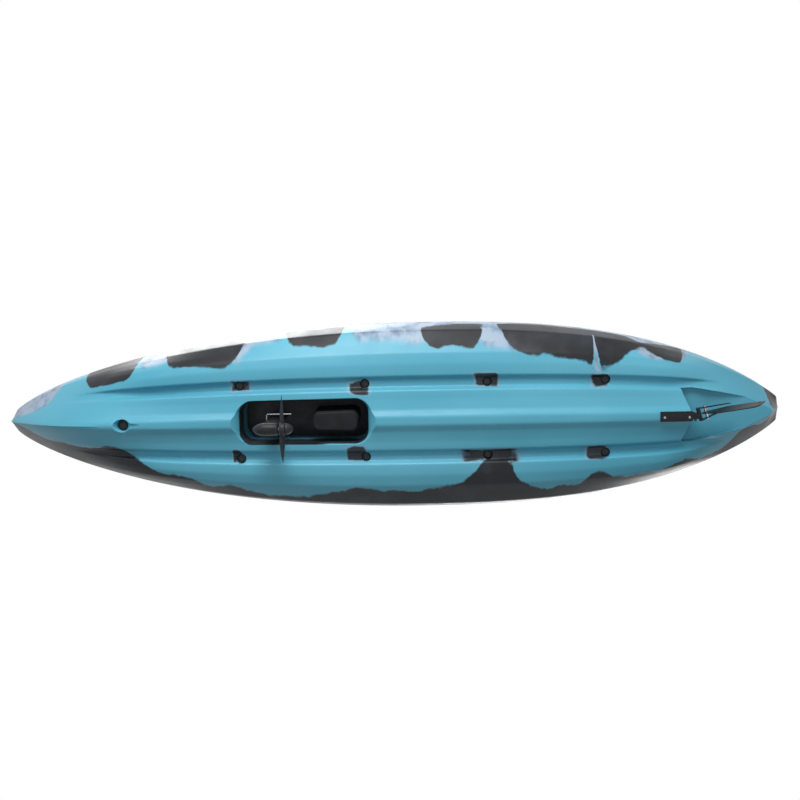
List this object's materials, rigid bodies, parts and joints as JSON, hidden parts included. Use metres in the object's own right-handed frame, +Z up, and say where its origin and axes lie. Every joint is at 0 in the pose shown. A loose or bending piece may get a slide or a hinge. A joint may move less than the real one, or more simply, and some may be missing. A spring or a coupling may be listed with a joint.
{
  "type": "pedal kayak",
  "caption": "Sit-on-top kayak with a hollow moulded hull, a pedal-cranked propeller drive, a lever-steered kick-up rudder, a folding framed seat and hatches.",
  "frame": {"origin": "on the flat of the keel, on the centreline, halfway along the hull", "axes": "+X towards the bow, +Y to port, +Z up"},
  "size_m": [3.66, 0.874, 0.9695],
  "materials": {
    "hull_plastic": "satin rotomoulded polyethylene, turquoise with a dark camouflage",
    "black_plastic": "satin black",
    "grey_plastic": "dark grey satin",
    "rubber": "matt black",
    "aluminium": "satin anodised",
    "steel": "stainless",
    "fabric": "black woven",
    "cord": "black elastic cord"
  },
  "bodies": {
    "hull": {"hull": "hull_plastic", "bow_handle": "black_plastic", "stern_handle": "black_plastic", "gear_rail_port": "aluminium", "gear_rail_starboard": "aluminium", "rod_holder_port": "black_plastic", "rod_holder_starboard": "black_plastic", "side_handle_bracket_port": "black_plastic", "side_handle_bracket_starboard": "black_plastic", "bungee_strip_port": "black_plastic", "bungee_strip_starboard": "black_plastic", "bungee_cord": "cord", "drain_plug": "black_plastic", "round_hatch_ring": "black_plastic", "bow_hatch_gasket": "rubber", "bow_hatch_hinge": "black_plastic", "seat_frame": "aluminium", "seat_runner_port": "rubber", "seat_runner_starboard": "rubber", "seat_cushion": "fabric", "seat_hinge_port": "aluminium", "seat_hinge_starboard": "aluminium", "drive_base": "black_plastic", "gearcase_port": "black_plastic", "gearcase_starboard": "black_plastic", "crank_bearing_port": "steel", "crank_bearing_starboard": "steel", "shaft_bushing": "steel", "prop_bearing": "steel", "drive_leg": "black_plastic", "drive_pod": "black_plastic", "shaft_seal": "rubber", "well_fairing": "grey_plastic", "stay_rod": "steel", "rudder_bracket": "black_plastic", "steering_cable": "rubber", "cable_gland": "black_plastic", "lever_base": "black_plastic"},
    "crank": {"crank_axle": "steel", "crank_gear": "steel", "crank_arm_port": "black_plastic", "crank_arm_starboard": "black_plastic"},
    "pedal_port": {"pedal_port": "black_plastic"},
    "pedal_starboard": {"pedal_starboard": "black_plastic"},
    "drive_shaft": {"drive_shaft": "steel"},
    "propeller": {"prop_shaft": "steel", "propeller": "black_plastic", "prop_nut": "black_plastic"},
    "drive_latch": {"drive_latch": "black_plastic"},
    "rudder": {"rudder_fork": "black_plastic", "tiller_arm": "aluminium", "blade_bolt": "steel"},
    "rudder_blade": {"rudder_blade": "black_plastic"},
    "steering_lever": {"steering_lever": "black_plastic"},
    "seat_back": {"seat_back_frame": "aluminium", "seat_back_cushion": "fabric"},
    "bow_hatch_lid": {"bow_hatch_lid": "hull_plastic"},
    "round_hatch_lid": {"round_hatch_lid": "black_plastic"},
    "side_handle_port": {"side_handle_port": "steel"},
    "side_handle_starboard": {"side_handle_starboard": "steel"}
  },
  "joints": [
    {"name": "crank_turn", "type": "hinge", "parent": "hull", "child": "crank", "pos_m": [0.565, 0, 0.5], "axis": [0, 1, 0], "continuous": true},
    {"name": "pedal_port_turn", "type": "hinge", "parent": "crank", "child": "pedal_port", "pos_m": [0.71, 0, 0.5], "axis": [0, 1, 0], "continuous": true},
    {"name": "pedal_starboard_turn", "type": "hinge", "parent": "crank", "child": "pedal_starboard", "pos_m": [0.42, 0, 0.5], "axis": [0, 1, 0], "continuous": true},
    {"name": "drive_shaft_turn", "type": "hinge", "parent": "hull", "child": "drive_shaft", "pos_m": [0.565, 0, -0.2], "axis": [0, 0, 1], "continuous": true},
    {"name": "propeller_turn", "type": "hinge", "parent": "hull", "child": "propeller", "pos_m": [0.565, 0, -0.2], "axis": [1, 0, 0], "continuous": true},
    {"name": "drive_latch_turn", "type": "hinge", "parent": "hull", "child": "drive_latch", "pos_m": [0.092, 0, 0.2853], "axis": [0, 0, 1], "range_deg": [0, 90]},
    {"name": "rudder_turn", "type": "hinge", "parent": "hull", "child": "rudder", "pos_m": [-1.361, 0, 0], "axis": [0, 0, 1], "range_deg": [-18.4, 51.6]},
    {"name": "blade_kick_up", "type": "hinge", "parent": "rudder", "child": "rudder_blade", "pos_m": [-1.40892, 0.01428, 0.0213], "axis": [0.2857, 0.9583, 0], "range_deg": [0, 33]},
    {"name": "steering_lever_turn", "type": "hinge", "parent": "hull", "child": "steering_lever", "pos_m": [0.33, 0.378, 0.3], "axis": [0, 0, 1], "range_deg": [-18.4, 51.6]},
    {"name": "seat_back_fold", "type": "hinge", "parent": "hull", "child": "seat_back", "pos_m": [-0.545, 0, 0.29], "axis": [0, 1, 0], "range_deg": [0, 88]},
    {"name": "bow_hatch_open", "type": "hinge", "parent": "hull", "child": "bow_hatch_lid", "pos_m": [1.488, 0, 0.3212], "axis": [0, 1, 0], "range_deg": [0, 105]},
    {"name": "round_hatch_unscrew", "type": "hinge", "parent": "hull", "child": "round_hatch_lid", "pos_m": [-0.028, 0, 0.12], "axis": [0, 0, 1], "range_deg": [0, 60]},
    {"name": "side_handle_port_lift", "type": "hinge", "parent": "hull", "child": "side_handle_port", "pos_m": [0.13, 0.402, 0.3115], "axis": [-1, 0, 0], "range_deg": [0, 120]},
    {"name": "side_handle_starboard_lift", "type": "hinge", "parent": "hull", "child": "side_handle_starboard", "pos_m": [0.13, -0.402, 0.3115], "axis": [1, 0, 0], "range_deg": [0, 120]}
  ],
  "couplings": [
    {"joint": "drive_shaft_turn", "follows": "crank_turn", "ratio": 5.5},
    {"joint": "propeller_turn", "follows": "crank_turn", "ratio": 8.5556},
    {"joint": "steering_lever_turn", "follows": "rudder_turn", "ratio": 1}
  ]
}
